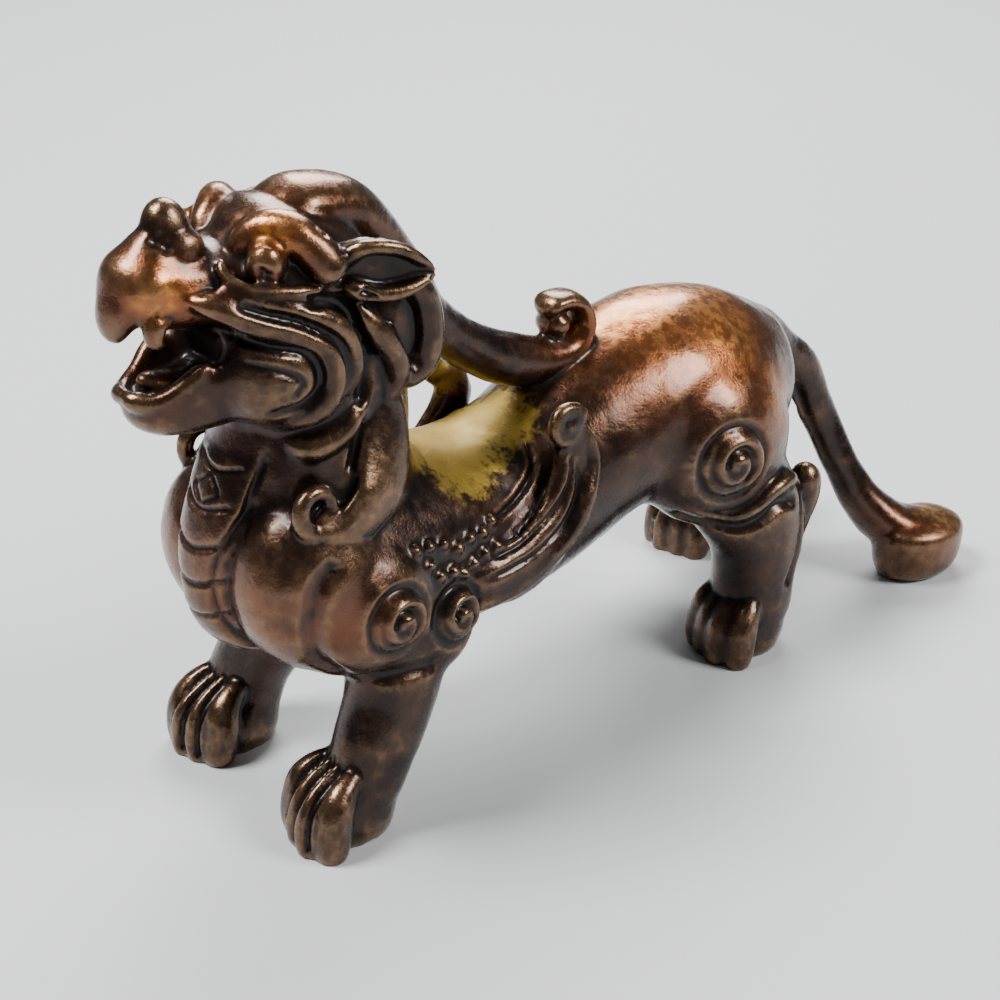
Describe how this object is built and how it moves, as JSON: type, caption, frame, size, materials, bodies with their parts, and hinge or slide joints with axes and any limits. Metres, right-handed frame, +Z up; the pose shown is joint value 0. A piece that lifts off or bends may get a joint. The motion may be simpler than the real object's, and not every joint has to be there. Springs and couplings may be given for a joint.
{
  "type": "pixiu figure",
  "caption": "Small cast bronze pixiu, a winged lion-like guardian beast standing on its paws with raised head, back-swept horn and trailing tail, for a desk or shelf.",
  "frame": {"origin": "on the ground below the middle of the figure's box", "axes": "+Z up, the face looks towards -Y and the tail points towards +Y, the beast's left side is +X"},
  "size_m": [0.0328, 0.1078, 0.0641],
  "materials": {
    "pixiu_figure": "cast bronze with a dark brown waxed patina, rubbed to copper red and bare brass on the high places"
  },
  "bodies": {
    "root": {"pixiu_figure": "pixiu_figure"}
  },
  "joints": []
}
